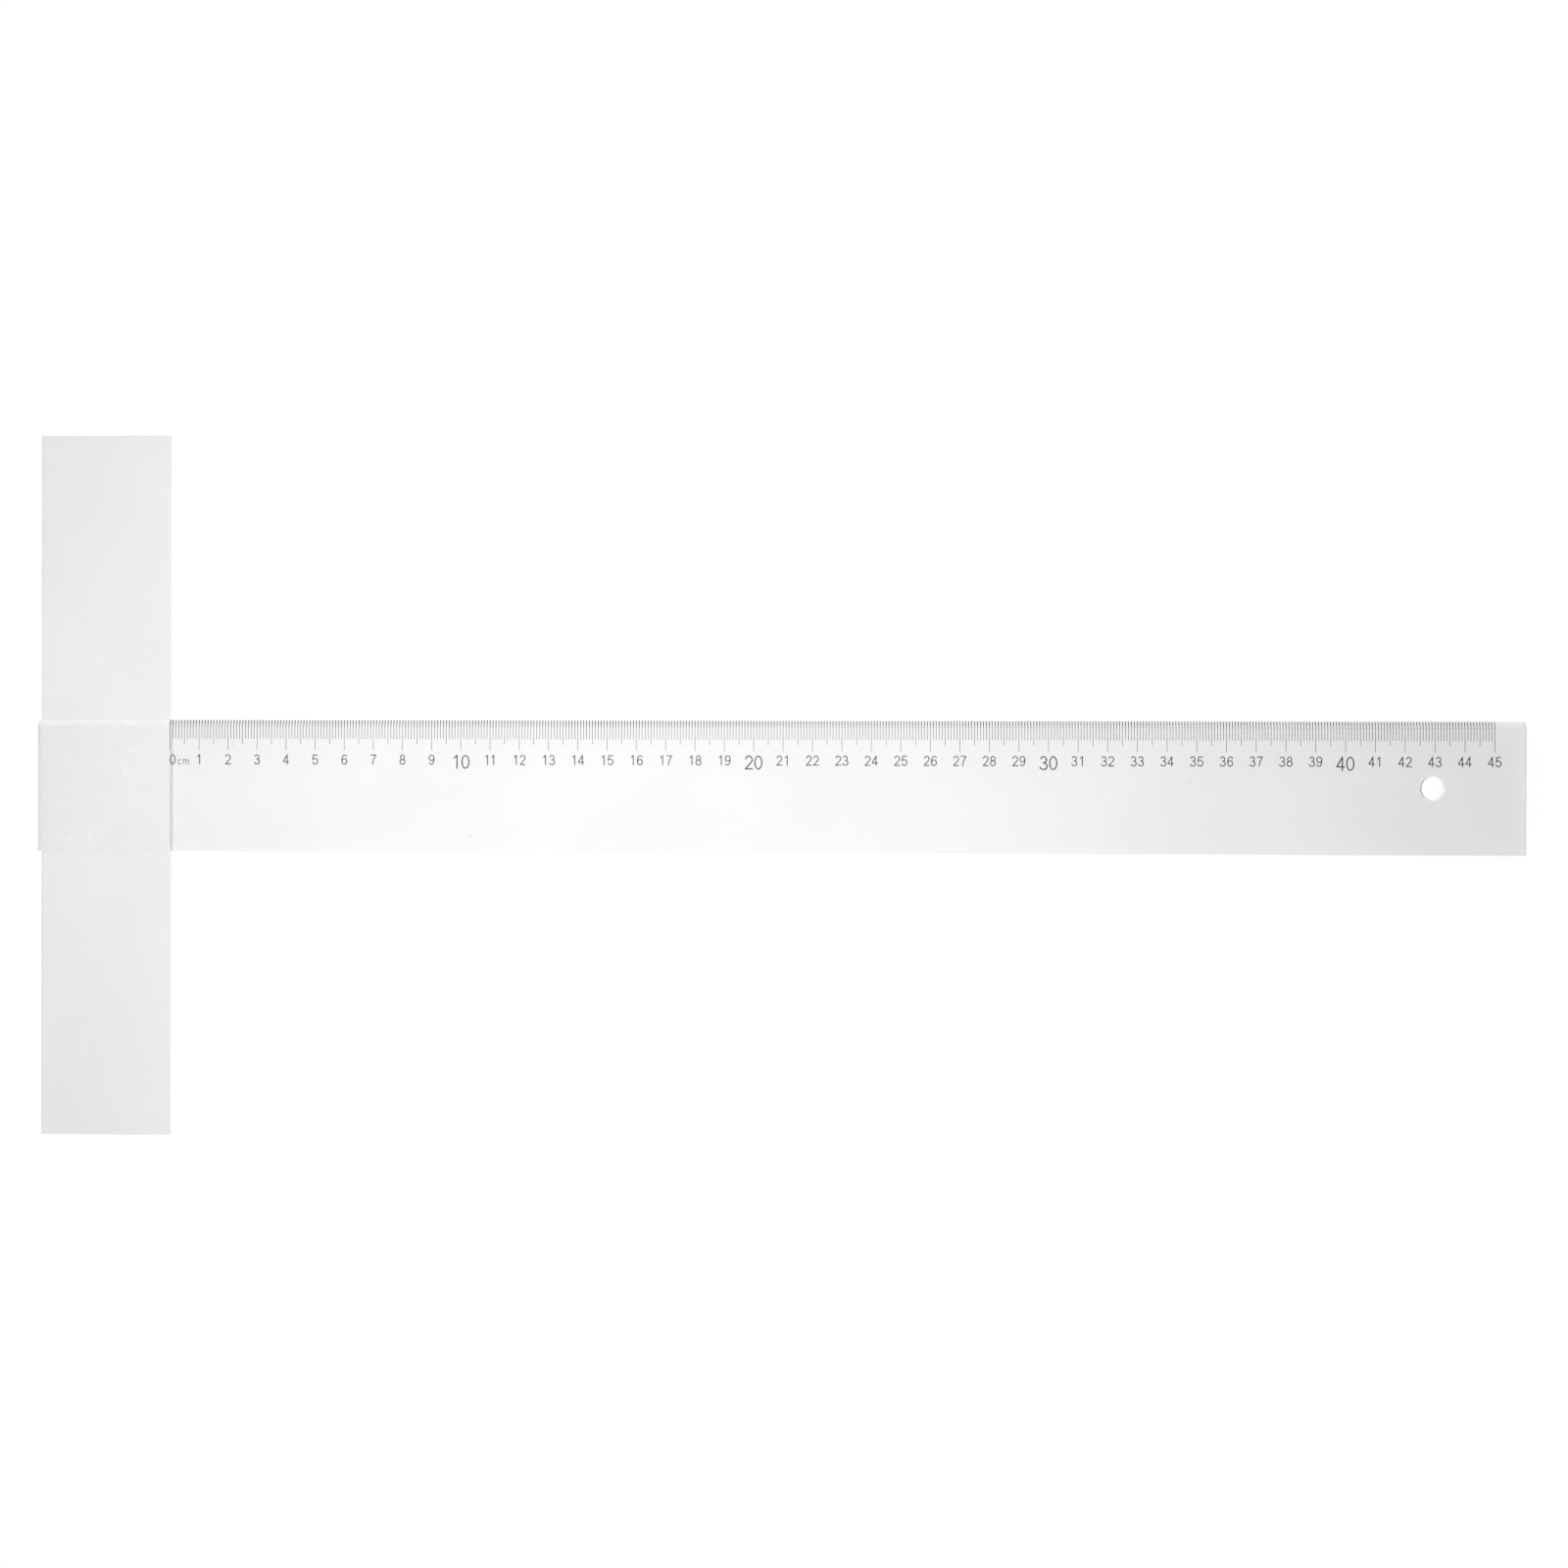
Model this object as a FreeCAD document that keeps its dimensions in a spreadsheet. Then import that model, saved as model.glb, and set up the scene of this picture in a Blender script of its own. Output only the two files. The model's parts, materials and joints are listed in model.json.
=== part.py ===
"""A clear acrylic t square: a scaled blade cemented on top of a plain cross head.

The frame is the one a draughtsman works from. The origin is where the head's
working edge crosses the blade's drawing edge, at the level of the paper (the
blade's underside). +X runs along the blade to its tip, +Y up the head and +Z
up off the paper. Everything is in millimetres.

The head lies under the blade, so that its working edge can slide along the
side of a drawing board. A thin film of clear cement joins the two. The scale
is ink on the blade's underside, close to the paper.
"""

import FreeCAD, Part
import math
import os

import Sketcher

# Alias, value and meaning of every size that can be set by itself.
SIZES = (
    ("head_length", 240.0, "head, end to end"),
    ("head_width", 45.0, "head, working edge to outer edge"),
    ("head_thickness", 3.0, "thickness of the head's sheet"),
    ("blade_reach", 460.0, "blade, from the head's working edge to the tip"),
    ("blade_width", 45.0, "blade, drawing edge to lower edge"),
    ("blade_thickness", 3.0, "thickness of the blade's sheet"),
    ("bevel_width", 2.0, "width of the sloped band beside the drawing edge"),
    ("bevel_edge", 1.2, "height of the thin edge that the bevel leaves"),
    ("arris", 0.2, "small chamfer that takes the sharpness off cut edges"),
    ("hole_diameter", 8.0, "hanging hole"),
    ("hole_from_tip", 31.0, "hanging hole's centre to the blade's tip"),
    ("cement_film", 0.1, "thickness of the cement between head and blade"),
    ("cement_setback", 0.4, "how far the cement stops short of the lap's two ends"),
    ("cement_bead", 0.3, "how far the squeezed out cement spreads past the blade's sides"),
    ("ink_film", 0.03, "thickness of the printed ink"),
    ("mark_width", 0.15, "width of every scale mark"),
    ("mark_foot_width", 0.27, "width of a mark's heavier start, which lies under the bevel"),
    ("mark_foot", 2.3, "where that heavier start ends, from the drawing edge"),
    ("mark_gap", 0.1, "clear strip between the drawing edge and the marks"),
    ("millimetre_mark", 6.45, "millimetre mark's lower end from the drawing edge"),
    ("half_mark", 8.2, "half-centimetre mark's lower end from the drawing edge"),
    ("centimetre_mark", 10.3, "centimetre mark's lower end from the drawing edge"),
    ("end_margin", 10.0, "least plain blade left between the last mark and the tip"),
    ("numeral_drop", 11.8, "top of the numerals from the drawing edge"),
    ("numeral_height", 3.45, "height of the ordinary numerals"),
    ("numeral_advance", 2.45, "pitch of two digits in an ordinary number"),
    ("decade_height", 4.8, "height of the numerals at every tenth centimetre"),
    ("decade_advance", 3.2, "pitch of two digits at every tenth centimetre"),
    ("pen_width", 0.33, "stroke width of the ordinary numerals"),
    ("decade_pen_width", 0.41, "stroke width of the larger numerals"),
    ("zero_offset", 0.95, "centre of the figure 0, which stands beside its mark"),
    ("unit_offset", 2.7, "left side of the unit's letters from the zero mark"),
    ("unit_height", 1.75, "height of the unit's small letters"),
    ("unit_pen_width", 0.22, "stroke width of the unit's letters"),
    ("centimetre", 10.0, "step between two numbers of the scale"),
)

# How many whole centimetres fit between the zero mark and the end margin.
SCALE_COUNT = "floor((Sizes.blade_reach - Sizes.end_margin) / Sizes.centimetre)"

# A pair of ones is set closer than other pairs, as share of the usual pitch.
PAIR_OF_ONES = 0.87

# Figures and letters are this much narrower than the pen paths below.
NARROWING = 0.94

# Centres of the unit's two letters from its left side, as shares of their height.
UNIT_LETTER_CENTRES = (0.42, 1.62)

doc = FreeCAD.newDocument("t_square")


# ------------------------------------------------------------------ sheet
def make_sheet():
    """Writes every size into the spreadsheet, one row each, with its alias."""
    sizes = doc.addObject("Spreadsheet::Sheet", "Sizes")
    for row, (alias, value, meaning) in enumerate(SIZES, start=1):
        sizes.set(f"A{row}", alias)
        sizes.set(f"B{row}", str(value))
        sizes.set(f"C{row}", meaning)
        sizes.setAlias(f"B{row}", alias)
    doc.recompute()
    return sizes


# ---------------------------------------------------------------- helpers
def new_body(name):
    """An empty body whose label names the sub-part."""
    body = doc.addObject("PartDesign::Body", name)
    body.Label = name
    return body


def plane_of(body, role):
    """One of the body's own origin planes, such as XY_Plane."""
    return next(item for item in body.Origin.OriginFeatures if item.Role == role)


def new_sketch(body, role, name, offset=None):
    """A sketch on an origin plane, moved along the plane's normal by offset."""
    sketch = body.newObject("Sketcher::SketchObject", name)
    sketch.AttachmentSupport = (plane_of(body, role), "")
    sketch.MapMode = "FlatFace"
    if offset:
        sketch.setExpression("AttachmentOffset.Base.z", offset)
    return sketch


def place_point(sketch, curve, point, across, up):
    """Holds a sketch point at two distances from the origin, "0" meaning on an axis."""
    for kind, distance, axis in (("DistanceX", across, -2), ("DistanceY", up, -1)):
        if distance == "0":
            sketch.addConstraint(Sketcher.Constraint("PointOnObject", curve, point, axis))
        else:
            row = sketch.addConstraint(Sketcher.Constraint(kind, -1, 1, curve, point, 1.0))
            sketch.setExpression(f"Constraints[{row}]", distance)


def draw_outline(sketch, corners):
    """A closed outline of straight lines, each corner held by two expressions."""
    count = len(corners)
    turn = 2 * math.pi / count
    start = [
        FreeCAD.Vector(math.cos(number * turn), math.sin(number * turn), 0)
        for number in range(count)
    ]
    for number in range(count):
        sketch.addGeometry(Part.LineSegment(start[number], start[(number + 1) % count]))
    for number in range(count):
        following = (number + 1) % count
        sketch.addConstraint(Sketcher.Constraint("Coincident", number, 2, following, 1))
    for number, (across, up) in enumerate(corners):
        place_point(sketch, number, 1, across, up)


def add_pad(body, sketch, length, reverse=False):
    """A pad of the sketch, along the sketch's normal or against it."""
    pad = body.newObject("PartDesign::Pad", f"{body.Name}_pad")
    pad.Profile = sketch
    pad.setExpression("Length", length)
    pad.Reversed = reverse
    doc.recompute()
    return pad


def add_chamfer(body, base, edge_names, size):
    """A chamfer of the named edges of the feature base."""
    chamfer = body.newObject("PartDesign::Chamfer", f"{body.Name}_arris")
    chamfer.Base = (base, edge_names)
    chamfer.setExpression("Size", size)
    doc.recompute()
    return chamfer


def edges_where(shape, accept):
    """Names of the shape's edges that accept() says yes to."""
    return [f"Edge{number}" for number, edge in enumerate(shape.Edges, start=1) if accept(edge)]


def lies_at_height(edge, height):
    """True if the whole edge lies at this height."""
    box = edge.BoundBox
    return abs(box.ZMin - height) < 1e-6 and abs(box.ZMax - height) < 1e-6


# ------------------------------------------------------------------- head
def make_head():
    """The cross head: a plain strip, centred on the blade and just under it."""
    body = new_body("head")
    above = "(Sizes.head_length - Sizes.blade_width) / 2"
    below = "-(Sizes.head_length + Sizes.blade_width) / 2"
    outer = "-Sizes.head_width"
    sketch = new_sketch(body, "XY_Plane", "head_outline")
    draw_outline(sketch, [("0", below), ("0", above), (outer, above), (outer, below)])
    pad = add_pad(body, sketch, "Sizes.head_thickness")
    top = pad.Shape.BoundBox.ZMax
    rim = edges_where(
        pad.Shape, lambda edge: lies_at_height(edge, 0) or lies_at_height(edge, top)
    )
    add_chamfer(body, pad, rim, "Sizes.arris")
    body.setExpression("Placement.Base.z", "-Sizes.cement_film - Sizes.head_thickness")
    return body


# ------------------------------------------------------------------ blade
def make_blade():
    """The blade: one bevelled section drawn out from the head's outer edge to the tip."""
    body = new_body("blade")
    section = new_sketch(body, "YZ_Plane", "blade_section", offset="-Sizes.head_width")
    draw_outline(
        section,
        [
            ("0", "0"),
            ("0", "Sizes.bevel_edge"),
            ("-Sizes.bevel_width", "Sizes.blade_thickness"),
            ("-Sizes.blade_width", "Sizes.blade_thickness"),
            ("-Sizes.blade_width", "0"),
        ],
    )
    pad = add_pad(body, section, "Sizes.head_width + Sizes.blade_reach")
    drilled = drill_hanging_hole(body, pad)
    break_top_edges(body, drilled)
    return body


def drill_hanging_hole(body, strip):
    """The hole on the blade's centre line, near the tip, right through the sheet."""
    sketch = new_sketch(body, "XY_Plane", "hanging_hole_circle")
    sketch.addGeometry(Part.Circle(FreeCAD.Vector(1, -1, 0), FreeCAD.Vector(0, 0, 1), 1))
    centre_point = 3
    place_point(
        sketch, 0, centre_point, "Sizes.blade_reach - Sizes.hole_from_tip", "-Sizes.blade_width / 2"
    )
    row = sketch.addConstraint(Sketcher.Constraint("Diameter", 0, 2.0))
    sketch.setExpression(f"Constraints[{row}]", "Sizes.hole_diameter")
    pocket = body.newObject("PartDesign::Pocket", "hanging_hole")
    pocket.Profile = sketch
    pocket.setExpression("Length", "Sizes.blade_thickness")
    pocket.Reversed = True
    doc.recompute()
    removed = strip.Shape.Volume - pocket.Shape.Volume
    expected = math.pi / 4 * size("hole_diameter") ** 2 * size("blade_thickness")
    if abs(removed - expected) > 1e-3:
        raise RuntimeError("the hanging hole didn't go right through the blade")
    return pocket


def break_top_edges(body, base):
    """Chamfers the top edges at both ends and along the lower side, but not the bevel's."""
    ridge = -size("bevel_width")

    def is_cut_edge(edge):
        beside_bevel = abs(edge.BoundBox.YMin - ridge) < 1e-6
        straight = isinstance(edge.Curve, Part.Line)
        return lies_at_height(edge, size("blade_thickness")) and straight and not beside_bevel

    add_chamfer(body, base, edges_where(base.Shape, is_cut_edge), "Sizes.arris")


# ----------------------------------------------------------------- cement
def make_cement_layer():
    """The cement: a film over the lap, thinning to nothing just past the blade's sides."""
    body = new_body("cement_layer")
    start = "Sizes.cement_setback - Sizes.head_width"
    low = "-Sizes.cement_film"
    section = new_sketch(body, "YZ_Plane", "cement_section", offset=start)
    draw_outline(
        section,
        [
            ("Sizes.cement_bead", low),
            ("0", "0"),
            ("-Sizes.blade_width", "0"),
            ("-Sizes.blade_width - Sizes.cement_bead", low),
        ],
    )
    add_pad(body, section, "Sizes.head_width - 2 * Sizes.cement_setback")
    return body


# ------------------------------------------------------------------ marks
def make_first_mark(body, position, lower_end):
    """One scale mark of ink, centred on position along X, with its heavier start."""
    sketch = new_sketch(body, "XY_Plane", f"{body.Name}_outline")
    left, right = (f"{position} {side} Sizes.mark_width / 2" for side in "-+")
    foot_left, foot_right = (f"{position} {side} Sizes.mark_foot_width / 2" for side in "-+")
    start, foot_end = "-Sizes.mark_gap", "-Sizes.mark_foot"
    draw_outline(
        sketch,
        [
            (foot_left, start),
            (foot_right, start),
            (foot_right, foot_end),
            (right, foot_end),
            (right, lower_end),
            (left, lower_end),
            (left, foot_end),
            (foot_left, foot_end),
        ],
    )
    return sketch, add_pad(body, sketch, "Sizes.ink_film", reverse=True)


def run_of(feature, sketch, name, body, steps, pitch):
    """Repeats feature steps more times along the blade, at the given pitch."""
    pattern = body.newObject("PartDesign::LinearPattern", name)
    if feature:
        pattern.Originals = [feature]
    pattern.Direction = (sketch, ["H_Axis"])
    pattern.setExpression("Length", f"{steps} * {pitch}")
    pattern.setExpression("Occurrences", f"{steps} + 1")
    return pattern


def make_single_marks(name, position, lower_end, steps):
    """Marks that stand one centimetre apart, the first of them at position."""
    body = new_body(name)
    sketch, mark = make_first_mark(body, position, lower_end)
    body.Tip = run_of(mark, sketch, f"{name}_run", body, steps, "Sizes.centimetre")
    doc.recompute()
    return body


def make_millimetre_marks():
    """Four marks a millimetre apart, and that group again after every fifth millimetre."""
    name = "millimetre_marks"
    body = new_body(name)
    millimetre = "Sizes.centimetre / 10"
    sketch, mark = make_first_mark(body, millimetre, "-Sizes.millimetre_mark")
    repeat = body.newObject("PartDesign::MultiTransform", f"{name}_run")
    repeat.Originals = [mark]
    group = run_of(None, sketch, f"{name}_group", body, "3", millimetre)
    groups = run_of(
        None, sketch, f"{name}_groups", body, f"(2 * {SCALE_COUNT} - 1)", "Sizes.centimetre / 2"
    )
    repeat.Transformations = [group, groups]
    body.Tip = repeat
    doc.recompute()
    return body


# --------------------------------------------------------------- lettering
def line(*points):
    """A pen path of straight runs. Lettering is drawn one unit tall, centred on x = 0."""
    return ("line", points)


def arc(centre, radii, start, end):
    """A pen path along part of an ellipse, anticlockwise between two angles in degrees."""
    return ("arc", centre, radii, start, end)


# Plain sans-serif figures, as pen paths from y = 0.05 to y = 0.95.
FIGURES = {
    "0": [arc((0, 0.5), (0.26, 0.45), 0, 360)],
    "1": [line((0.07, 0.0), (0.07, 1.0)), line((0.09, 0.96), (-0.18, 0.75))],
    "2": [
        arc((-0.005, 0.69), (0.25, 0.26), -32, 172),
        line((0.22, 0.57), (-0.26, 0.05)),
        line((-0.31, 0.05), (0.30, 0.05)),
    ],
    "3": [
        arc((-0.02, 0.735), (0.22, 0.215), -90, 165),
        line((-0.08, 0.52), (0.0, 0.52)),
        arc((-0.02, 0.285), (0.27, 0.235), -168, 90),
    ],
    "4": [
        line((0.12, 0.0), (0.12, 1.0)),
        line((-0.32, 0.28), (0.31, 0.28)),
        line((-0.29, 0.29), (0.11, 0.95)),
    ],
    "5": [
        line((-0.19, 0.95), (0.27, 0.95)),
        line((-0.17, 0.97), (-0.245, 0.46)),
        arc((-0.01, 0.335), (0.265, 0.285), -165, 148),
    ],
    "6": [
        arc((0.01, 0.315), (0.25, 0.265), 0, 360),
        arc((0.04, 0.47), (0.29, 0.48), 38, 205),
    ],
    "7": [
        line((-0.30, 0.95), (0.30, 0.95)),
        line((0.26, 0.94), (0.03, 0.52)),
        line((0.03, 0.56), (-0.09, 0.0)),
    ],
    "8": [
        arc((0, 0.735), (0.21, 0.215), 0, 360),
        arc((0, 0.285), (0.26, 0.235), 0, 360),
    ],
    "9": [
        arc((-0.01, 0.685), (0.25, 0.265), 0, 360),
        arc((-0.04, 0.53), (0.29, 0.48), 218, 385),
    ],
}

# The two small letters of the unit, one unit tall, each with its own width.
LETTER_C = [arc((0, 0.5), (0.36, 0.44), 45, 315)]
LETTER_M = [
    line((-0.56, 0.0), (-0.56, 1.0)),
    arc((-0.28, 0.62), (0.28, 0.32), 0, 180),
    line((0.0, 0.0), (0.0, 0.64)),
    arc((0.28, 0.62), (0.28, 0.32), 0, 180),
    line((0.56, 0.0), (0.56, 0.64)),
]


def straight_stroke(start, end, pen):
    """A flat strip of pen width between two points."""
    along = (end - start).normalize()
    side = FreeCAD.Vector(-along.y, along.x, 0) * (pen / 2)
    corners = [start + side, start - side, end - side, end + side, start + side]
    return Part.Face(Part.makePolygon(corners))


def curved_stroke(centre, radii, start, end, pen):
    """A flat band of pen width along an ellipse, or part of one."""
    across, up = radii
    outer = ellipse(centre, across + pen / 2, up + pen / 2)
    inner = ellipse(centre, across - pen / 2, up - pen / 2)
    if end - start >= 360:
        ring = Part.Face(Part.Wire([outer.toShape()]))
        return ring.cut(Part.Face(Part.Wire([inner.toShape()])))
    first, last = (ellipse_part(curve, start, end) for curve in (outer, inner))
    first_ends = [vertex.Point for vertex in first.Vertexes]
    last_ends = [vertex.Point for vertex in last.Vertexes]
    caps = [Part.makeLine(near, far) for near, far in zip(first_ends, last_ends)]
    return Part.Face(Part.Wire(Part.__sortEdges__([first, last, *caps])))


def ellipse(centre, across, up):
    """An ellipse of two half-widths, taller than wide or the other way round."""
    tip_across = centre + FreeCAD.Vector(across, 0, 0)
    tip_up = centre + FreeCAD.Vector(0, up, 0)
    if across >= up:
        return Part.Ellipse(tip_across, tip_up, centre)
    return Part.Ellipse(tip_up, centre - FreeCAD.Vector(across, 0, 0), centre)


def ellipse_part(curve, start, end):
    """The part of an ellipse between two angles, measured anticlockwise from +X."""
    lead = 90 if curve.XAxis.y > 0.5 else 0
    first, last = math.radians(start - lead), math.radians(end - lead)
    return Part.ArcOfEllipse(curve, first, last).toShape()


def ink(face):
    """The ink of a flat face: a film just under the blade."""
    return face.extrude(FreeCAD.Vector(0, 0, -size("ink_film")))


def print_character(strokes, height, pen, x, y):
    """One figure or letter as a solid of ink, its foot's middle at (x, y)."""

    width = NARROWING * height

    def at(point):
        return FreeCAD.Vector(x + point[0] * width, y + point[1] * height, 0)

    bands = []
    for kind, *path in strokes:
        if kind == "line":
            points = [at(point) for point in path[0]]
            bands += [straight_stroke(a, b, pen) for a, b in zip(points, points[1:])]
        else:
            centre, (across, up), start, end = path
            bands.append(curved_stroke(at(centre), (across * width, up * height), start, end, pen))
    solids = [ink(band) for band in bands]
    whole = solids[0].fuse(solids[1:]) if len(solids) > 1 else solids[0]
    return whole.removeSplitter().Solids


def print_number(number, x, height, advance, pen):
    """The solids of one number, centred on x, hanging from the numerals' top line."""
    text = str(number)
    pitch = advance * (PAIR_OF_ONES if text == "11" else 1)
    y = -size("numeral_drop") - height
    first = x - pitch * (len(text) - 1) / 2
    solids = []
    for place, figure in enumerate(text):
        solids += print_character(FIGURES[figure], height, pen, first + place * pitch, y)
    return solids


def add_ink_object(name, solids):
    """A sub-part of printed ink, made of separate flat solids."""
    feature = doc.addObject("Part::Feature", name)
    feature.Label = name
    feature.Shape = Part.makeCompound(solids)
    feature.Placement = FreeCAD.Placement()
    return feature


def make_numerals(scale_count):
    """The numbers that are not whole tens, and the 0 beside its mark."""
    look = (size("numeral_height"), size("numeral_advance"), size("pen_width"))
    solids = print_number(0, size("zero_offset"), *look)
    for number in range(1, scale_count + 1):
        if number % 10:
            solids += print_number(number, number * size("centimetre"), *look)
    return add_ink_object("numerals", solids)


def make_decade_numerals(scale_count):
    """The larger numbers at every tenth centimetre."""
    look = (size("decade_height"), size("decade_advance"), size("decade_pen_width"))
    solids = []
    for number in range(10, scale_count + 1, 10):
        solids += print_number(number, number * size("centimetre"), *look)
    return add_ink_object("decade_numerals", solids)


def make_unit_label():
    """The letters that name the unit, on the same foot line as the ordinary numbers."""
    height, pen = size("unit_height"), size("unit_pen_width")
    y = -size("numeral_drop") - size("numeral_height")
    letters = []
    for strokes, share in zip((LETTER_C, LETTER_M), UNIT_LETTER_CENTRES):
        centre = size("unit_offset") + share * height
        letters += print_character(strokes, height, pen, centre, y)
    return add_ink_object("unit_label", letters)


# ------------------------------------------------------------ checks, files
def check_document():
    """Stops if any object of the document failed to build."""
    for item in doc.Objects:
        if "Invalid" in item.State or "Error" in item.State:
            raise RuntimeError(f"{item.Name} failed to build: {item.State}")


def write_parts(parts):
    """Writes each sub-part to its own STEP file, once every shape is sound."""
    for part in parts:
        if part.Shape.isNull() or not part.Shape.isValid() or not part.Shape.Solids:
            raise RuntimeError(f"{part.Label} has no sound solid")
    os.makedirs("parts", exist_ok=True)
    for part in parts:
        part.Shape.exportStep(f"parts/{part.Label}.step")
        volume = sum(solid.Volume for solid in part.Shape.Solids)
        print(f"{part.Label}: {len(part.Shape.Solids)} solid(s), {volume:.3f} mm3")


sheet = make_sheet()


def size(alias):
    """The sheet's value of one size."""
    return float(sheet.get(alias))


def make_all():
    """Builds every sub-part, and returns them in the order they are put together."""
    scale_count = math.floor((size("blade_reach") - size("end_margin")) / size("centimetre"))
    return [
        make_head(),
        make_cement_layer(),
        make_blade(),
        make_millimetre_marks(),
        make_single_marks(
            "half_centimetre_marks", "Sizes.centimetre / 2", "-Sizes.half_mark",
            f"({SCALE_COUNT} - 1)",
        ),
        make_single_marks("centimetre_marks", "0", "-Sizes.centimetre_mark", SCALE_COUNT),
        make_numerals(scale_count),
        make_decade_numerals(scale_count),
        make_unit_label(),
    ]


all_parts = make_all()
doc.recompute()
check_document()
write_parts(all_parts)
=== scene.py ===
"""A clear acrylic t square on a white table, seen from straight above.

The two sheets are rebuilt as closed glass-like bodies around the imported
model's own boxes and mounts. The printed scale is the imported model's own.
Everything is in metres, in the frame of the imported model.
"""

import json
import math

import bmesh
import bpy
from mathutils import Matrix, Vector, noise


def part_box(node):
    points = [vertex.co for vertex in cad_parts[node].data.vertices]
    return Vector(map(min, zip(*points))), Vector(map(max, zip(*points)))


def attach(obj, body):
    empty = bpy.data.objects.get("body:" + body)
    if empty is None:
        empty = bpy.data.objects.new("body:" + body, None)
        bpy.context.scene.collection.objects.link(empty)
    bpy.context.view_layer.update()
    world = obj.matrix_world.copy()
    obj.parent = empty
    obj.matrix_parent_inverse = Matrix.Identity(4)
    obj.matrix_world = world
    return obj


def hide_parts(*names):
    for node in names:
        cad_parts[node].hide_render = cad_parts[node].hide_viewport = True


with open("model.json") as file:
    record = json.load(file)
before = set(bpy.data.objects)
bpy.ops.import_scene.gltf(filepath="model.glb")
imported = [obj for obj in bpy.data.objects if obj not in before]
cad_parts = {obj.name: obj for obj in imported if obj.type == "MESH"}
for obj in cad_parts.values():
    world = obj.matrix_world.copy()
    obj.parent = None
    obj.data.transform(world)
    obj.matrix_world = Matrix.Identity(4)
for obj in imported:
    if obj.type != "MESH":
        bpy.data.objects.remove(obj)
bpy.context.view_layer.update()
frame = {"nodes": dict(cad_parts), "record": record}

MM = 0.001

# ---------------------------------------------------------------- the object
BLADE_LOW, BLADE_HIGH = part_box("blade")
HEAD_LOW, HEAD_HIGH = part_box("head")
MOUNTS = {mount["name"]: mount for mount in frame["record"]["mounts"]}
HOLE_PLACE = Vector(MOUNTS["hanging_hole"]["pos_m"])
HOLE_RADIUS = MOUNTS["hanging_hole"]["dims"]["r_mm"] * MM

BEVEL_WIDTH = 2.0 * MM  # the sloped band beside the drawing edge
BEVEL_EDGE = 1.2 * MM  # the thin edge that the bevel leaves
ARRIS = 0.08 * MM  # cut edges are broken by this much
INK_SEAT = 0.01 * MM  # how far the acrylic wraps round the ink's upper side
BOND_GAP = 0.02 * MM  # keeps the cement's faces off the acrylic's
CEMENT_SETBACK = 0.4 * MM  # the cement stops this far short of the lap's two ends
CEMENT_BEAD = 0.3 * MM  # and spreads at most this far past the blade's sides
RIM_STEPS = 60  # points along each side of the cement's outline
DRILL_DEPTH = 20.0 * MM  # more than both sheets, so that the hole goes through
DRILL_SIDES = 96
SMUDGE_INSET = 4.0 * MM  # from the lap's outer corners to the middle of their smudges
SMUDGE_WANDER = 7.0 * MM  # how far a smudge's outline strays
SMUDGE_CORE, SMUDGE_END = 4.0 * MM, 8.0 * MM
INK_NODES = (
    "millimetre_marks",
    "half_centimetre_marks",
    "centimetre_marks",
    "numerals",
    "decade_numerals",
    "unit_label",
)

# -------------------------------------------------------------- the picture
LENS_MILLIMETRES = 43.84125
SENSOR_MILLIMETRES = 36.0
CAMERA_PLACE = (225.3 * MM, -19.35 * MM, 650.0 * MM)
CAMERA_TURN_DEGREES = (-0.185, 1.319, 0.139)

ACRYLIC_IOR = 1.49
SHEET_TINT_AND_PAINTED_SHADE = 0.768  # share of the light that the full thickness lets through; mostly painted shade, standing in for the shadow that the glowing table under the sheet doesn't take
BEVEL_TINT_AND_PAINTED_SHADE = 0.83  # the bevel is thinner, and carries less painted shade than the sheet: a lighter band
LAPPED_BEVEL_PAINTED_HIGHLIGHT = 0.93  # painted highlight: a lighter tint where the blade laps the head, so that a brighter band runs there
TABLE_GLOW = 0.705
TABLE_HOT_SPOT = 0.235  # painted pool of light: the table glows this much brighter near the blade's middle
BRIGHTEST_PLACE = (157.0 * MM, -10.0 * MM)
HOT_SPOT_CORE, HOT_SPOT_END = 40.0 * MM, 345.0 * MM  # distances from the brightest place
TABLE_HALF_SIDE = 6.0
TABLE_MIDDLE = 200.0 * MM
TABLE_CLEARANCE = 0.05 * MM  # below the head
PATCH_LEAN_DEGREES = (-5.5, 2.0)
PATCH_SPREAD_DEGREES = 20.5
PATCH_BRIGHTNESS = 1.8
DIM_WITHIN_DEGREES, BRIGHT_FROM_DEGREES = 22.0, 50.0  # of the middle of the patch
DIM_CEILING, BRIGHT_SIDES = 0.2, 0.88
RING_RISE_DEGREES = (58.0, 66.0)  # a brighter ring, low down at the sides
RING_FALL_DEGREES = (75.0, 81.0)
RING_BRIGHTNESS = 0.4
BUBBLE_IOR = 1.05  # cement in acrylic bends light only a little
LIGHT_BOUNCES = 96  # light from one edge is reflected many times on its way across a sheet
CLEAR_FACES = 32  # faces without refraction that a ray may pass


# ------------------------------------------------------------------- nodes
def new_material(name):
    """An empty node material and its output node."""
    material = bpy.data.materials.new(name)
    material.use_nodes = True
    material.node_tree.nodes.clear()
    return material, add(material.node_tree, "ShaderNodeOutputMaterial")


def add(tree, kind, **settings):
    """A new node of that kind, with properties set from settings."""
    node = tree.nodes.new(kind)
    for name, value in settings.items():
        setattr(node, name, value)
    return node


def feed(tree, socket, value):
    """Gives an input another node's output, or a plain value."""
    if isinstance(value, bpy.types.NodeSocket):
        tree.links.new(value, socket)
    else:
        socket.default_value = value


def calculate(tree, operation, first, second=0.0):
    """A Math node on two numbers or outputs."""
    node = add(tree, "ShaderNodeMath", operation=operation)
    feed(tree, node.inputs[0], first)
    feed(tree, node.inputs[1], second)
    return node.outputs[0]


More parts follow.
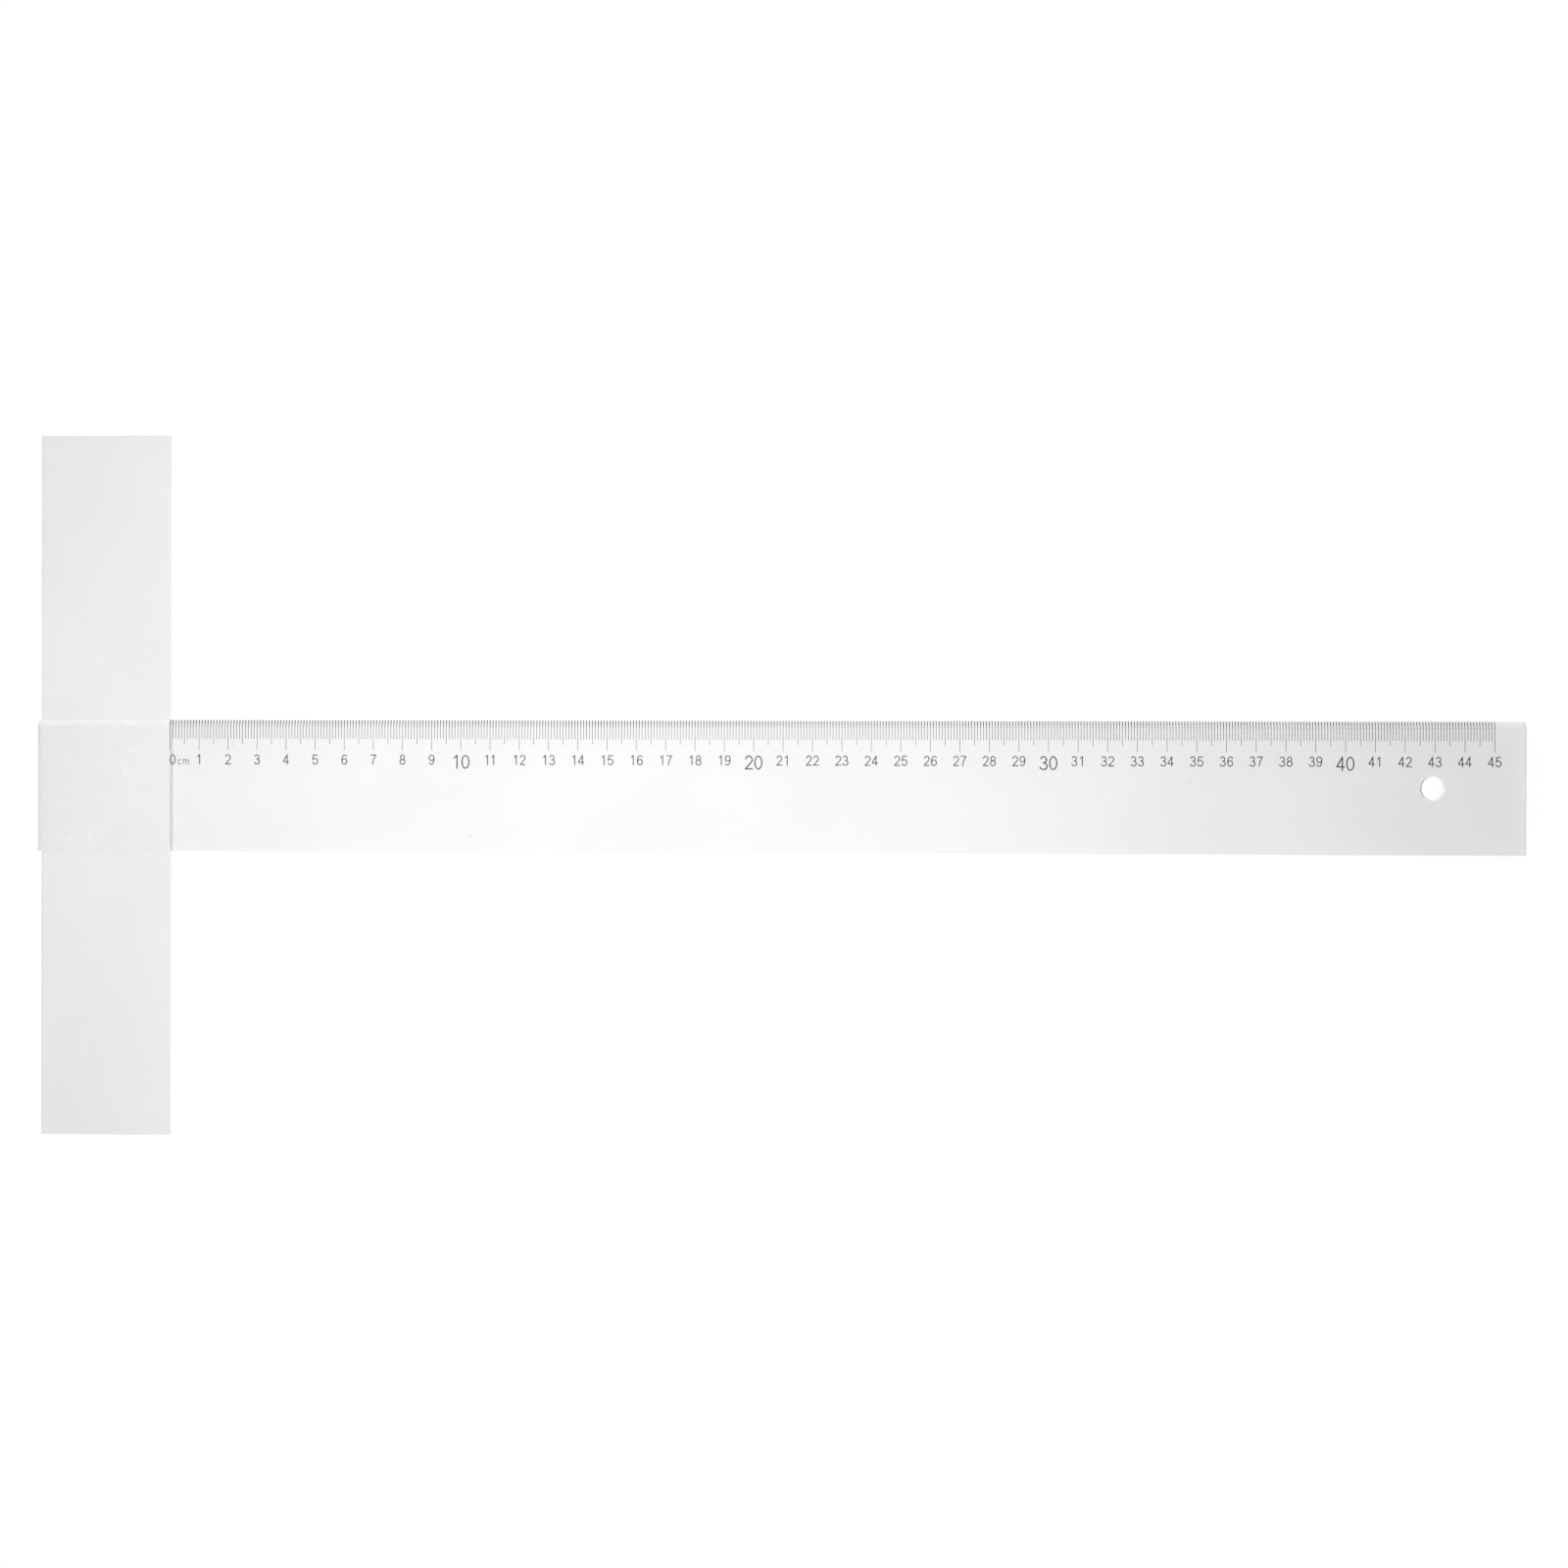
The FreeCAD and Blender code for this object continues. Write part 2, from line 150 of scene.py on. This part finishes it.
def remap(tree, value, low, high, new_low, new_high):
    """value, clamped to low..high and stretched to new_low..new_high."""
    node = add(tree, "ShaderNodeMapRange", interpolation_type="SMOOTHSTEP")
    for name, number in zip(
        ("Value", "From Min", "From Max", "To Min", "To Max"),
        (value, low, high, new_low, new_high),
    ):
        feed(tree, node.inputs[name], number)
    return node.outputs["Result"]


def object_place(tree, scale=(1.0, 1.0, 1.0), turn=(0.0, 0.0, 0.0)):
    """Object coordinates, stretched and turned."""
    mapping = add(tree, "ShaderNodeMapping")
    mapping.inputs["Scale"].default_value = scale
    mapping.inputs["Rotation"].default_value = turn
    tree.links.new(add(tree, "ShaderNodeTexCoord").outputs["Object"], mapping.inputs["Vector"])
    return mapping.outputs["Vector"]


def noise_at(tree, place, scale, detail=2.0, roughness=0.5):
    """A noise pattern's value."""
    node = add(tree, "ShaderNodeTexNoise")
    feed(tree, node.inputs["Vector"], place)
    node.inputs["Scale"].default_value = scale
    node.inputs["Detail"].default_value = detail
    node.inputs["Roughness"].default_value = roughness
    return node.outputs["Fac"]


def grey(tree, value):
    """A grey colour of a number that other nodes make."""
    node = add(tree, "ShaderNodeCombineColor")
    for name in ("Red", "Green", "Blue"):
        feed(tree, node.inputs[name], value)
    return node.outputs["Color"]


def bump(tree, height, strength, distance):
    """A normal from a height pattern."""
    node = add(tree, "ShaderNodeBump")
    node.inputs["Strength"].default_value = strength
    node.inputs["Distance"].default_value = distance
    feed(tree, node.inputs["Height"], height)
    return node.outputs["Normal"]


# --------------------------------------------------------------- materials
def scratches(tree, turn, threshold):
    """Long fine hairlines that run one way: 1 on a hairline, 0 off it."""
    place = object_place(tree, scale=(14.0, 900.0, 1.0), turn=(0.0, 0.0, turn))
    value = noise_at(tree, place, 1.0, detail=1.0)
    return remap(tree, value, threshold, threshold + 0.03, 0.0, 1.0)


def acrylic_material(name, tint_and_painted_light):
    """Polished clear sheet: faint clouding, hairlines, dust and a barely uneven surface. Its grey
    tint is partly painted light and shade.
    """
    material, output = new_material(name)
    tree = material.node_tree
    shader = add(tree, "ShaderNodeBsdfPrincipled")
    shader.inputs["IOR"].default_value = ACRYLIC_IOR
    shader.inputs["Transmission Weight"].default_value = 1.0
    place = object_place(tree)
    cloud = noise_at(tree, place, 22.0, detail=3.0)
    # the tint is partly painted shade on the sheet, and a painted highlight on the lapped bevel
    clouded = remap(tree, cloud, 0.3, 0.7, tint_and_painted_light - 0.010, tint_and_painted_light + 0.010)
    speck = remap(tree, noise_at(tree, place, 900.0, detail=0.0), 0.88, 0.90, 1.0, 0.6)
    feed(tree, shader.inputs["Base Color"], grey(tree, calculate(tree, "MULTIPLY", clouded, speck)))
    hairline = calculate(
        tree, "MAXIMUM", scratches(tree, 0.05, 0.735), scratches(tree, 1.2, 0.75)
    )
    handling = remap(tree, noise_at(tree, place, 35.0, detail=4.0), 0.45, 0.8, 0.0, 0.02)
    rough = calculate(tree, "MULTIPLY_ADD", hairline, 0.02)
    rough.node.inputs[2].default_value = 0.012
    feed(tree, shader.inputs["Roughness"], calculate(tree, "ADD", rough, handling))
    ripple = noise_at(tree, place, 16.0, detail=1.0)
    feed(tree, shader.inputs["Normal"], bump(tree, ripple, 0.05, 0.0005))
    tree.links.new(shader.outputs["BSDF"], output.inputs["Surface"])
    return material


def cut_edge_material(name, clearness, smoothest, roughest):
    """The cut side of a sheet, polished or frosted: faint upright cutter marks."""
    material, output = new_material(name)
    tree = material.node_tree
    shader = add(tree, "ShaderNodeBsdfPrincipled")
    shader.inputs["IOR"].default_value = ACRYLIC_IOR
    shader.inputs["Transmission Weight"].default_value = clearness
    marks = noise_at(tree, object_place(tree, scale=(700.0, 700.0, 60.0)), 1.0, detail=1.0)
    wave = noise_at(tree, object_place(tree), 160.0, detail=2.0)
    feed(tree, shader.inputs["Base Color"], grey(tree, remap(tree, marks, 0.3, 0.7, 0.97, 1.0)))
    feed(tree, shader.inputs["Roughness"], remap(tree, wave, 0.3, 0.7, smoothest, roughest))
    feed(tree, shader.inputs["Normal"], bump(tree, marks, 0.03, 0.00005))
    tree.links.new(shader.outputs["BSDF"], output.inputs["Surface"])
    return material


def bonded_material():
    """A face wetted by cement: the same index on both sides, so it passes light unbent."""
    material, output = new_material("acrylic_bonded_face")
    tree = material.node_tree
    clear = add(tree, "ShaderNodeBsdfTransparent")
    haze = noise_at(tree, object_place(tree), 240.0, detail=3.0)
    feed(tree, clear.inputs["Color"], grey(tree, remap(tree, haze, 0.3, 0.7, 0.997, 1.0)))
    tree.links.new(clear.outputs["BSDF"], output.inputs["Surface"])
    return material


def cement_material():
    """Solvent cement: clear, unevenly spread, with small bubbles and clearer outer corners."""
    material, output = new_material("clear_cement")
    tree = material.node_tree
    place = object_place(tree)
    spread = remap(tree, noise_at(tree, place, 170.0, detail=4.0, roughness=0.6), 0.4, 0.65, 0.0, 1.0)
    pale = spread
    corner_x = HEAD_LOW.x + SMUDGE_INSET
    for corner_y in (BLADE_HIGH.y - SMUDGE_INSET, BLADE_LOW.y + SMUDGE_INSET):
        pale = calculate(tree, "MAXIMUM", pale, smudge(tree, place, corner_x, corner_y))
    clear = add(tree, "ShaderNodeBsdfTransparent")
    feed(tree, clear.inputs["Color"], grey(tree, remap(tree, pale, 0.0, 1.0, 0.994, 1.0)))
    bubble = add(tree, "ShaderNodeTexVoronoi", feature="F1")
    feed(tree, bubble.inputs["Vector"], place)
    bubble.inputs["Scale"].default_value = 420.0
    skin = add(tree, "ShaderNodeBsdfPrincipled")
    skin.inputs["Base Color"].default_value = (0.95, 0.95, 0.95, 1.0)
    skin.inputs["Transmission Weight"].default_value = 1.0
    skin.inputs["IOR"].default_value = BUBBLE_IOR
    feed(tree, skin.inputs["Roughness"], remap(tree, spread, 0.0, 1.0, 0.15, 0.35))
    feed(tree, skin.inputs["Normal"], bump(tree, spread, 0.2, 0.0001))
    mix = add(tree, "ShaderNodeMixShader")
    feed(tree, mix.inputs["Fac"], remap(tree, bubble.outputs["Distance"], 0.05, 0.12, 0.6, 0.0))
    tree.links.new(clear.outputs["BSDF"], mix.inputs[1])
    tree.links.new(skin.outputs["BSDF"], mix.inputs[2])
    tree.links.new(mix.outputs["Shader"], output.inputs["Surface"])
    return material


def smudge(tree, place, x, y):
    """1 where cement was squeezed out near an outer corner of the lap, 0 elsewhere."""
    offset = add(tree, "ShaderNodeVectorMath", operation="DISTANCE")
    feed(tree, offset.inputs[0], place)
    offset.inputs[1].default_value = (x, y, 0.0)
    wander = calculate(tree, "MULTIPLY", noise_at(tree, place, 450.0, detail=3.0), SMUDGE_WANDER)
    reach = calculate(tree, "ADD", offset.outputs["Value"], wander)
    return remap(tree, reach, SMUDGE_CORE, SMUDGE_END, 1.0, 0.0)


def ink_material():
    """Screen-printed black: matt, a little thin in places."""
    material, output = new_material("black_ink")
    tree = material.node_tree
    shader = add(tree, "ShaderNodeBsdfPrincipled")
    place = object_place(tree)
    thin = noise_at(tree, place, 900.0, detail=3.0)
    feed(tree, shader.inputs["Base Color"], grey(tree, remap(tree, thin, 0.35, 0.75, 0.004, 0.02)))
    shader.inputs["Specular IOR Level"].default_value = 0.0
    feed(tree, shader.inputs["Roughness"], remap(tree, thin, 0.3, 0.7, 0.55, 0.8))
    feed(tree, shader.inputs["Normal"], bump(tree, thin, 0.2, 0.00002))
    tree.links.new(shader.outputs["BSDF"], output.inputs["Surface"])
    return material


def floor_material():
    """A plain white table that glows in place of lighting, with a painted pool of light brightest in
    the middle, and takes only faint shadows.
    """
    material, output = new_material("white_table")
    tree = material.node_tree
    shade = add(tree, "ShaderNodeBsdfDiffuse")
    shade.inputs["Color"].default_value = (0.33, 0.33, 0.33, 1.0)
    glow = add(tree, "ShaderNodeEmission")
    away = add(tree, "ShaderNodeVectorMath", operation="DISTANCE")
    tree.links.new(add(tree, "ShaderNodeNewGeometry").outputs["Position"], away.inputs[0])
    away.inputs[1].default_value = (*BRIGHTEST_PLACE, HEAD_LOW.z)
    highest = TABLE_GLOW + TABLE_HOT_SPOT
    distance = away.outputs["Value"]
    strength = remap(tree, distance, HOT_SPOT_CORE, HOT_SPOT_END, highest, TABLE_GLOW)
    feed(tree, glow.inputs["Strength"], strength)
    both = add(tree, "ShaderNodeAddShader")
    tree.links.new(shade.outputs["BSDF"], both.inputs[0])
    tree.links.new(glow.outputs["Emission"], both.inputs[1])
    tree.links.new(both.outputs["Shader"], output.inputs["Surface"])
    return material


# ------------------------------------------------------------------- shapes
def solid_from_section(name, section, start, end):
    """A closed body: a section of (y, z) corners drawn out along X."""
    mesh = bmesh.new()
    rings = [[mesh.verts.new((x, y, z)) for y, z in section] for x in (start, end)]
    for number in range(len(section)):
        following = (number + 1) % len(section)
        mesh.faces.new(
            [rings[0][number], rings[0][following], rings[1][following], rings[1][number]]
        )
    mesh.faces.new(rings[0][::-1])
    mesh.faces.new(rings[1])
    bmesh.ops.recalc_face_normals(mesh, faces=mesh.faces)
    return as_object(name, mesh)


def as_object(name, mesh):
    """Links a finished bmesh into the scene as an object, and frees it."""
    data = bpy.data.meshes.new(name)
    mesh.to_mesh(data)
    mesh.free()
    piece = bpy.data.objects.new(name, data)
    bpy.context.scene.collection.objects.link(piece)
    return piece


def drill(piece, centre, radius, depth):
    """Cuts an upright round hole through a piece."""
    bpy.ops.mesh.primitive_cylinder_add(
        vertices=DRILL_SIDES, radius=radius, depth=depth, location=centre
    )
    cutter = bpy.context.object
    cut = piece.modifiers.new("hole", "BOOLEAN")
    cut.operation = "DIFFERENCE"
    cut.object = cutter
    cut.solver = "EXACT"
    evaluated = piece.evaluated_get(bpy.context.evaluated_depsgraph_get())
    drilled = bpy.data.meshes.new_from_object(evaluated)
    piece.modifiers.clear()
    old = piece.data
    piece.data = drilled
    bpy.data.meshes.remove(old)
    bpy.data.objects.remove(cutter)


def shape_blade():
    """The bevelled blade with its hanging hole."""
    low, high = BLADE_LOW, BLADE_HIGH
    bottom = -INK_SEAT
    section = [
        (high.y, bottom),
        (high.y, BEVEL_EDGE),
        (high.y - BEVEL_WIDTH, high.z),
        (low.y, high.z),
        (low.y, bottom),
    ]
    blade = solid_from_section("blade_sheet", section, low.x, high.x)
    drill(blade, HOLE_PLACE, HOLE_RADIUS, DRILL_DEPTH)
    return blade


def shape_head():
    """The plain cross head."""
    low, high = HEAD_LOW, HEAD_HIGH
    section = [(high.y, low.z), (high.y, high.z), (low.y, high.z), (low.y, low.z)]
    return solid_from_section("head_sheet", section, low.x, high.x)


def break_edges(piece, chosen, width):
    """Rounds the chosen sharp edges of a piece."""
    mesh = bmesh.new()
    mesh.from_mesh(piece.data)
    bmesh.ops.dissolve_limit(
        mesh, angle_limit=math.radians(0.5), verts=mesh.verts, edges=mesh.edges
    )
    edges = [edge for edge in mesh.edges if chosen(edge)]
    bmesh.ops.bevel(
        mesh, geom=edges, offset=width, segments=2, profile=0.5, affect="EDGES", clamp_overlap=True
    )
    mesh.to_mesh(piece.data)
    mesh.free()


def is_arris(edge):
    """A right-angled edge where two faces of the sheet meet."""
    return len(edge.link_faces) == 2 and edge.calc_face_angle() > math.radians(60)


def split_along(piece, axis, places):
    """Divides the piece's faces by planes square to an axis, so that parts can differ."""
    mesh = bmesh.new()
    mesh.from_mesh(piece.data)
    normal = Vector([float(number == axis) for number in range(3)])
    for place in places:
        bmesh.ops.bisect_plane(
            mesh,
            geom=[*mesh.verts, *mesh.edges, *mesh.faces],
            plane_co=normal * place,
            plane_no=normal,
        )
    mesh.to_mesh(piece.data)
    mesh.free()


def give_materials(piece, materials, choose):
    """Gives each face the material that choose() numbers."""
    for material in materials:
        piece.data.materials.append(material)
    for face in piece.data.polygons:
        face.material_index = choose(face)


FLAT, CUT, BONDED, BEVEL, DRILLED, LAPPED_BEVEL = range(6)


def blade_face_kind(face):
    """Which surface a face of the blade is."""
    if abs(face.normal.z) < 0.2:
        return DRILLED if (face.center - HOLE_PLACE).xy.length < 2 * HOLE_RADIUS else CUT
    if face.normal.z < -0.99 and face.center.x < HEAD_HIGH.x:
        return BONDED
    if face.normal.y > 0.3 and face.area > BEVEL_WIDTH * BLADE_HIGH.z:
        return LAPPED_BEVEL if face.center.x < HEAD_HIGH.x else BEVEL
    return FLAT


def head_face_kind(face):
    """Which surface a face of the head is."""
    if abs(face.normal.z) < 0.2:
        return CUT
    in_lap = BLADE_LOW.y < face.center.y < BLADE_HIGH.y
    return BONDED if in_lap and face.normal.z > 0.99 else FLAT


def shape_cement():
    """The cement film, with an uneven rim that shows past the blade's two sides."""
    top, bottom = -INK_SEAT - BOND_GAP, HEAD_HIGH.z + BOND_GAP
    left, right = HEAD_LOW.x + CEMENT_SETBACK, HEAD_HIGH.x - CEMENT_SETBACK
    corners = rim_of_cement(left, right, CEMENT_BEAD)
    mesh = bmesh.new()
    upper = [mesh.verts.new((x, y, top)) for x, y in corners]
    lower = [mesh.verts.new((x, y, bottom)) for x, y in corners]
    mesh.faces.new(upper)
    mesh.faces.new(lower[::-1])
    for number in range(len(corners)):
        following = (number + 1) % len(corners)
        mesh.faces.new([upper[number], lower[number], lower[following], upper[following]])
    bmesh.ops.recalc_face_normals(mesh, faces=mesh.faces)
    return as_object("cement_film", mesh)


def rim_of_cement(left, right, bead):
    """The film's outline seen from above, wandering by less than the bead's width."""
    low, high = BLADE_LOW.y, BLADE_HIGH.y

    def wander(x, y):
        return noise.noise(Vector((x, y, 0.0)) * 900.0) * 0.5 + 0.5

    rim = []
    for number in range(RIM_STEPS):
        x = left + (right - left) * number / RIM_STEPS
        rim.append((x, low - bead * wander(x, low)))
    for number in range(RIM_STEPS):
        y = low + (high - low) * number / RIM_STEPS
        rim.append((right - bead * wander(right, y), y))
    for number in range(RIM_STEPS):
        x = right - (right - left) * number / RIM_STEPS
        rim.append((x, high + bead * wander(x, high)))
    for number in range(RIM_STEPS):
        y = high - (high - low) * number / RIM_STEPS
        rim.append((left + bead * wander(left, y), y))
    return rim


# ---------------------------------------------------------------- assembly
def make_object():
    """Builds the sheets and the cement, and finishes the printed scale."""
    # the three sheet materials differ in tint only: painted shade on the sheet, less of it on the
    # bevel, a painted highlight where the bevel laps the head
    sheet = acrylic_material("clear_acrylic", SHEET_TINT_AND_PAINTED_SHADE)
    bevel_lighter_painted_shade = acrylic_material("clear_acrylic_bevel_lighter_painted_shade", BEVEL_TINT_AND_PAINTED_SHADE)
    lapped = acrylic_material("clear_acrylic_lapped_bevel_painted_highlight", LAPPED_BEVEL_PAINTED_HIGHLIGHT)
    edge = cut_edge_material(
        "acrylic_cut_edge", clearness=1.0, smoothest=0.01, roughest=0.05
    )
    drilled = cut_edge_material(
        "acrylic_drilled_wall", clearness=0.3, smoothest=0.4, roughest=0.5
    )
    bonded = bonded_material()

    blade = shape_blade()
    break_edges(blade, is_arris, ARRIS)
    split_along(blade, 0, [HEAD_HIGH.x])
    give_materials(blade, (sheet, edge, bonded, bevel_lighter_painted_shade, drilled, lapped), blade_face_kind)

    head = shape_head()
    break_edges(head, is_arris, ARRIS)
    split_along(head, 1, [BLADE_LOW.y, BLADE_HIGH.y])
    give_materials(head, (sheet, edge, bonded), head_face_kind)

    cement = shape_cement()
    cement.data.materials.append(cement_material())

    for piece, node, slot in (
        (blade, "blade", "clear_acrylic"),
        (head, "head", "clear_acrylic"),
        (cement, "cement_layer", "clear_cement"),
    ):
        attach(piece, "root")
        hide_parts(node)

    ink = ink_material()
    for name in INK_NODES:
        for slot in frame["nodes"][name].material_slots:
            slot.material = ink


# ------------------------------------------------------------------ studio
def make_floor():
    """The white table, just under the head."""
    mesh = bmesh.new()
    bmesh.ops.create_grid(mesh, x_segments=1, y_segments=1, size=TABLE_HALF_SIDE)
    floor = as_object("white_table", mesh)
    floor.location = (TABLE_MIDDLE, 0.0, HEAD_LOW.z - TABLE_CLEARANCE)
    floor.data.materials.append(floor_material())


def overhead_light(tree, towards):
    """Brightness that falls off round a patch nearly overhead, rises at the sides, and has a ring."""
    lean_x, lean_y = (math.radians(lean) for lean in PATCH_LEAN_DEGREES)
    cosine = add(tree, "ShaderNodeVectorMath", operation="DOT_PRODUCT")
    feed(tree, cosine.inputs[0], towards)
    patch_centre = Vector((math.tan(lean_x), math.tan(lean_y), 1.0)).normalized()
    cosine.inputs[1].default_value = patch_centre
    angle = calculate(tree, "ARCCOSINE", cosine.outputs["Value"])
    share = calculate(tree, "DIVIDE", angle, math.radians(PATCH_SPREAD_DEGREES))
    exponent = calculate(tree, "MULTIPLY", calculate(tree, "POWER", share, 2.0), -1.0)
    patch = calculate(tree, "MULTIPLY", calculate(tree, "EXPONENT", exponent), PATCH_BRIGHTNESS)
    dim, bright = math.radians(DIM_WITHIN_DEGREES), math.radians(BRIGHT_FROM_DEGREES)
    sides = remap(tree, angle, dim, bright, DIM_CEILING, BRIGHT_SIDES)
    rise = [math.radians(edge) for edge in RING_RISE_DEGREES]
    fall = [math.radians(edge) for edge in RING_FALL_DEGREES]
    ring_rise = remap(tree, angle, *rise, 0.0, RING_BRIGHTNESS)
    ring_fall = remap(tree, angle, *fall, 1.0, 0.0)
    ring = calculate(tree, "MULTIPLY", ring_rise, ring_fall)
    return calculate(tree, "ADD", calculate(tree, "ADD", patch, sides), ring)


def make_light():
    """A soft white dome with a bright patch nearly overhead and a ring low down at the sides."""
    world = bpy.data.worlds.new("soft_studio")
    bpy.context.scene.world = world
    world.use_nodes = True
    tree = world.node_tree
    tree.nodes.clear()
    output = add(tree, "ShaderNodeOutputWorld")
    background = add(tree, "ShaderNodeBackground")
    towards = add(tree, "ShaderNodeTexCoord").outputs["Generated"]
    feed(tree, background.inputs["Color"], grey(tree, overhead_light(tree, towards)))
    tree.links.new(background.outputs["Background"], output.inputs["Surface"])


def make_camera():
    """The camera, straight above the blade's middle."""
    data = bpy.data.cameras.new("camera")
    data.sensor_width = SENSOR_MILLIMETRES
    data.lens = LENS_MILLIMETRES
    data.clip_start, data.clip_end = 0.01, 50.0
    camera = bpy.data.objects.new("camera", data)
    camera.location = CAMERA_PLACE
    camera.rotation_euler = [math.radians(angle) for angle in CAMERA_TURN_DEGREES]
    bpy.context.scene.collection.objects.link(camera)
    bpy.context.scene.camera = camera


def set_rendering_limits():
    """Plain colours, and enough bounces for light to cross both sheets and come back."""
    scene = bpy.context.scene
    scene.view_settings.view_transform = "Standard"
    scene.cycles.max_bounces = LIGHT_BOUNCES
    scene.cycles.transmission_bounces = LIGHT_BOUNCES
    scene.cycles.glossy_bounces = LIGHT_BOUNCES
    scene.cycles.transparent_max_bounces = CLEAR_FACES
    scene.cycles.blur_glossy = 0.0


make_camera()
make_object()
make_floor()
make_light()
set_rendering_limits()
